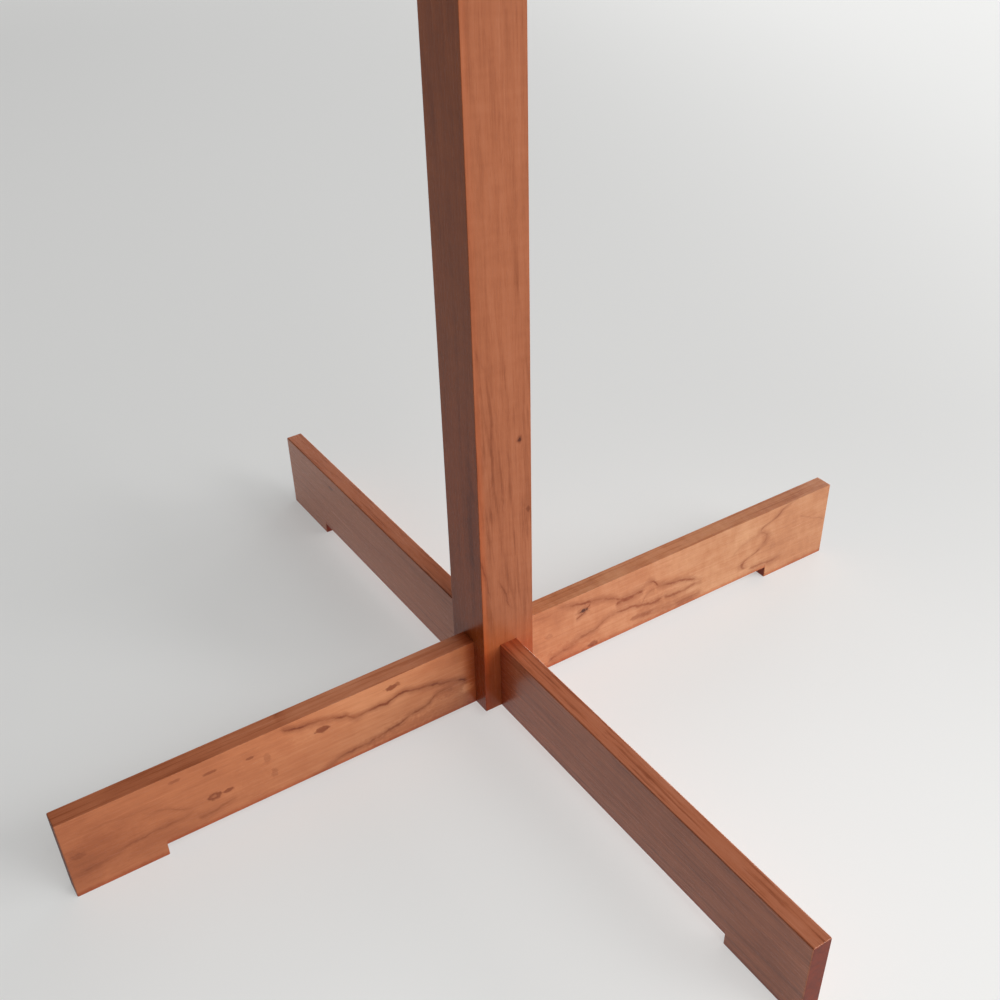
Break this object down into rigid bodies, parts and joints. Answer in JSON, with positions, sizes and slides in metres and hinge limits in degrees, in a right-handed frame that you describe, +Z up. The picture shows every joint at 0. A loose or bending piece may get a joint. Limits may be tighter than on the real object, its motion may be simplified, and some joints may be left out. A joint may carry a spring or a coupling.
{
  "type": "mug tree",
  "caption": "Free-standing wooden mug tree: a square post straddles two crossed base rails with feet, and round tilted pegs hold mugs by their handles.",
  "frame": {"origin": "on the ground under the post's axis, at the middle of the crossed rails", "axes": "+Z up along the post; +X and +Y along the two base rails"},
  "size_m": [0.3, 0.3, 0.4],
  "materials": {
    "rail_dark": "oiled cherry, straight grain, satin",
    "rail_light": "oiled cherry, flat-sawn with dark gum lines, satin",
    "post_wood": "oiled cherry, fine upright grain, satin",
    "peg_wood": "oiled cherry dowel, satin"
  },
  "bodies": {
    "root": {"base_rail_x": "rail_dark", "base_rail_y": "rail_light", "post": "post_wood", "peg_low_right": "peg_wood", "peg_low_left": "peg_wood", "peg_mid_back": "peg_wood", "peg_mid_front": "peg_wood", "peg_high_right": "peg_wood", "peg_high_left": "peg_wood"}
  },
  "joints": []
}
